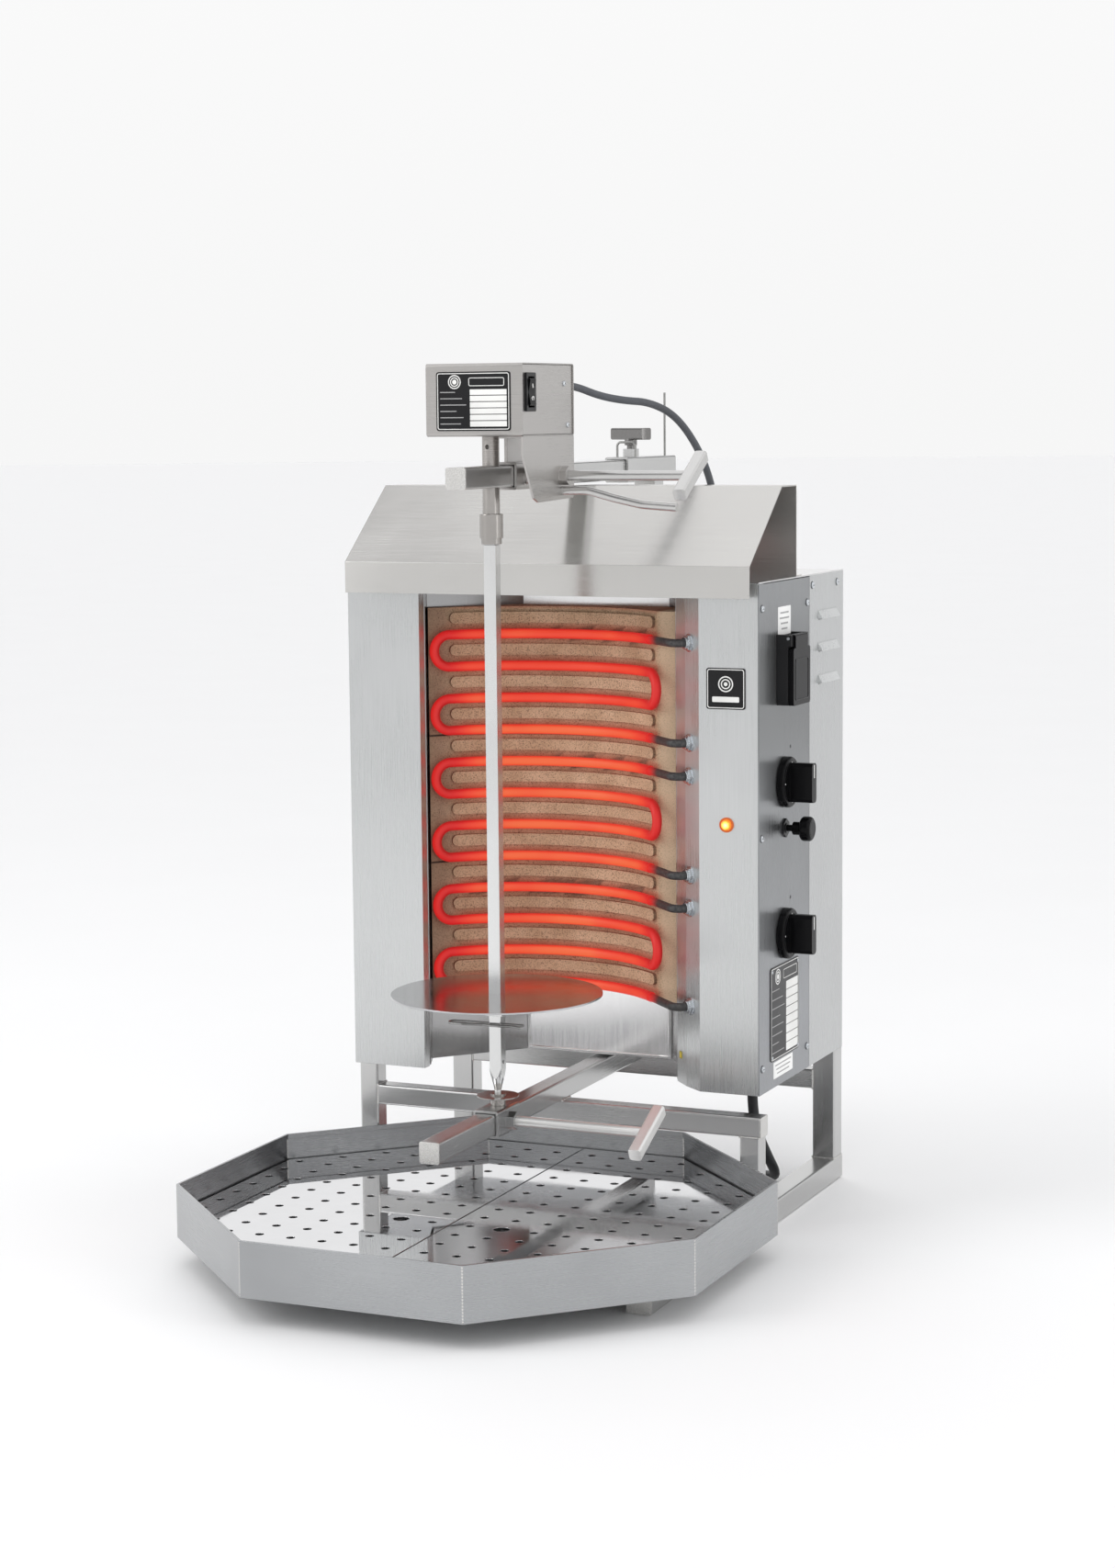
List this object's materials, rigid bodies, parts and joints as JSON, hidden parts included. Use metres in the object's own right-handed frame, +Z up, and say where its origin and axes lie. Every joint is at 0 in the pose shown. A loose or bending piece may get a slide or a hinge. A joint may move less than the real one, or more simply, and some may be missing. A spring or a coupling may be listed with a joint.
{
  "type": "vertical rotisserie broiler",
  "caption": "Electric upright grill for a meat cone: motor-driven spit in front of a heated hollow niche, with a hood, side controls and an octagonal drip pan.",
  "frame": {"origin": "on the table, under the middle of the broiler's bounding box without its mains cable", "axes": "+X to the right as one faces the heaters, +Y from the drip pan to the back, +Z up"},
  "size_m": [0.65, 0.934, 1.043],
  "materials": {
    "steel_tube": "satin ground stainless tube",
    "steel_panel": "vertical grain stainless sheet",
    "hood_steel": "fine horizontal grain stainless sheet",
    "cover_steel": "darker satin stainless sheet",
    "bright_steel": "bright finish stainless sheet",
    "mirror_steel": "mirror polished stainless",
    "turned_steel": "turned stainless bar",
    "zinc": "zinc plated",
    "refractory": "tan speckled refractory board",
    "element": "glowing incoloy sheath",
    "black_gloss": "glossy black moulding",
    "black_matte": "matt black moulding",
    "lamp_amber": "lit amber lens",
    "plate_black": "printed plate",
    "plug_red": "moulded plug",
    "cord_black": "rubber sheath",
    "cord_grey": "grey rubber sheath"
  },
  "bodies": {
    "root": {"foot_rails": "steel_tube", "tube_end_caps": "steel_tube", "front_posts": "steel_tube", "rear_posts": "steel_tube", "cross_rails": "steel_tube", "lower_arm": "steel_tube", "rear_mast": "steel_tube", "upper_sleeve": "steel_tube", "cable_guide_wire": "steel_tube", "upper_arm": "steel_tube", "left_column": "steel_panel", "right_column": "steel_panel", "side_cover": "cover_steel", "rear_cover": "steel_panel", "roof_panel": "steel_panel", "floor_panel": "steel_panel", "reflector": "bright_steel", "hood": "hood_steel", "insulation_blocks": "refractory", "heating_element_top": "element", "heating_element_middle": "element", "heating_element_bottom": "element", "element_ferrules": "zinc", "pilot_lamp": "lamp_amber", "front_plates": "plate_black", "cover_screws": "zinc", "socket_body": "black_matte", "socket_hinge_pin": "zinc", "control_switches": "black_matte", "terminal_block": "black_matte", "cable_glands": "black_matte", "motor_cord": "cord_grey", "mains_cable": "cord_black", "mains_cable_coil": "cord_black", "mains_plug": "plug_red"},
    "motor_carriage": {"upper_carriage": "steel_tube", "steady_handle": "steel_tube", "motor_case": "steel_panel", "motor_case_cover": "hood_steel", "gearmotor": "zinc", "motor_switch": "black_gloss"},
    "motor_rocker": {"motor_rocker": "black_gloss"},
    "drive_spindle": {"drive_spindle": "turned_steel"},
    "coupling_collar": {"coupling_collar": "turned_steel"},
    "upper_clamp_screw": {"upper_clamp_screw": "steel_tube"},
    "lower_carriage": {"lower_carriage": "steel_tube", "lower_bearing_cup": "turned_steel"},
    "lower_clamp_screw": {"lower_clamp_screw": "steel_tube"},
    "spit": {"spit_bar": "bright_steel"},
    "meat_disc": {"meat_disc": "mirror_steel"},
    "spit_clip": {"spit_clip": "steel_tube"},
    "top_clamp_screw": {"top_clamp_screw": "steel_tube"},
    "upper_zone_knob": {"upper_zone_knob": "black_gloss"},
    "lower_zone_knob": {"lower_zone_knob": "black_gloss"},
    "pull_knob": {"pull_knob": "black_gloss"},
    "socket_lid": {"socket_lid": "black_gloss"},
    "drip_pan": {"drip_pan": "steel_panel"},
    "pan_insert_left": {"pan_insert_left": "mirror_steel"},
    "pan_insert_right": {"pan_insert_right": "mirror_steel"}
  },
  "joints": [
    {"name": "motor_carriage_slide", "type": "slide", "parent": "root", "child": "motor_carriage", "axis": [0, 1, 0], "range_m": [-0.03, 0.02], "deforming": ["motor_cord"]},
    {"name": "lower_carriage_slide", "type": "slide", "parent": "root", "child": "lower_carriage", "axis": [0, 1, 0], "range_m": [-0.03, 0.02]},
    {"name": "spit_spin", "type": "hinge", "parent": "lower_carriage", "child": "spit", "pos_m": [0, -0.079, 0.3], "axis": [0, 0, 1], "continuous": true},
    {"name": "spindle_spin", "type": "hinge", "parent": "motor_carriage", "child": "drive_spindle", "pos_m": [0, -0.079, 0.9], "axis": [0, 0, 1], "continuous": true},
    {"name": "collar_lift", "type": "slide", "parent": "drive_spindle", "child": "coupling_collar", "axis": [0, 0, 1], "range_m": [0, 0.028]},
    {"name": "disc_lift", "type": "slide", "parent": "spit", "child": "meat_disc", "axis": [0, 0, 1], "range_m": [0, 0.42]},
    {"name": "clip_pull", "type": "slide", "parent": "spit", "child": "spit_clip", "axis": [-1, 0, 0], "range_m": [0, 0.045]},
    {"name": "upper_clamp_turn", "type": "hinge", "parent": "motor_carriage", "child": "upper_clamp_screw", "pos_m": [0.2, -0.012, 0.9135], "axis": [1, 0, 0], "range_deg": [0, 360]},
    {"name": "lower_clamp_turn", "type": "hinge", "parent": "lower_carriage", "child": "lower_clamp_screw", "pos_m": [0.19, -0.0845, 0.1575], "axis": [1, 0, 0], "range_deg": [0, 360]},
    {"name": "top_clamp_turn", "type": "hinge", "parent": "root", "child": "top_clamp_screw", "pos_m": [0, 0.35, 0.95], "axis": [0, 0, 1], "range_deg": [0, 360]},
    {"name": "motor_rocker_tilt", "type": "hinge", "parent": "motor_carriage", "child": "motor_rocker", "pos_m": [0.056, -0.101, 1.01], "axis": [0, 1, 0], "range_deg": [-9, 9]},
    {"name": "pan_slide", "type": "slide", "parent": "root", "child": "drip_pan", "axis": [0, -1, 0], "range_m": [0, 0.3]},
    {"name": "left_insert_lift", "type": "slide", "parent": "drip_pan", "child": "pan_insert_left", "axis": [0, 0, 1], "range_m": [0, 0.04]},
    {"name": "right_insert_lift", "type": "slide", "parent": "drip_pan", "child": "pan_insert_right", "axis": [0, 0, 1], "range_m": [0, 0.04]},
    {"name": "upper_zone_knob_turn", "type": "hinge", "parent": "root", "child": "upper_zone_knob", "pos_m": [0.28, 0.17, 0.541], "axis": [-1, 0, 0], "range_deg": [0, 270]},
    {"name": "lower_zone_knob_turn", "type": "hinge", "parent": "root", "child": "lower_zone_knob", "pos_m": [0.28, 0.17, 0.356], "axis": [-1, 0, 0], "range_deg": [0, 270]},
    {"name": "pull_knob_slide", "type": "slide", "parent": "root", "child": "pull_knob", "axis": [1, 0, 0], "range_m": [0, 0.008]},
    {"name": "socket_lid_swing", "type": "hinge", "parent": "root", "child": "socket_lid", "pos_m": [0.286, 0.171, 0.7165], "axis": [0, -1, 0], "range_deg": [0, 100]}
  ],
  "couplings": [
    {"joint": "lower_carriage_slide", "follows": "motor_carriage_slide", "ratio": 1},
    {"joint": "spindle_spin", "follows": "spit_spin", "ratio": 1}
  ]
}
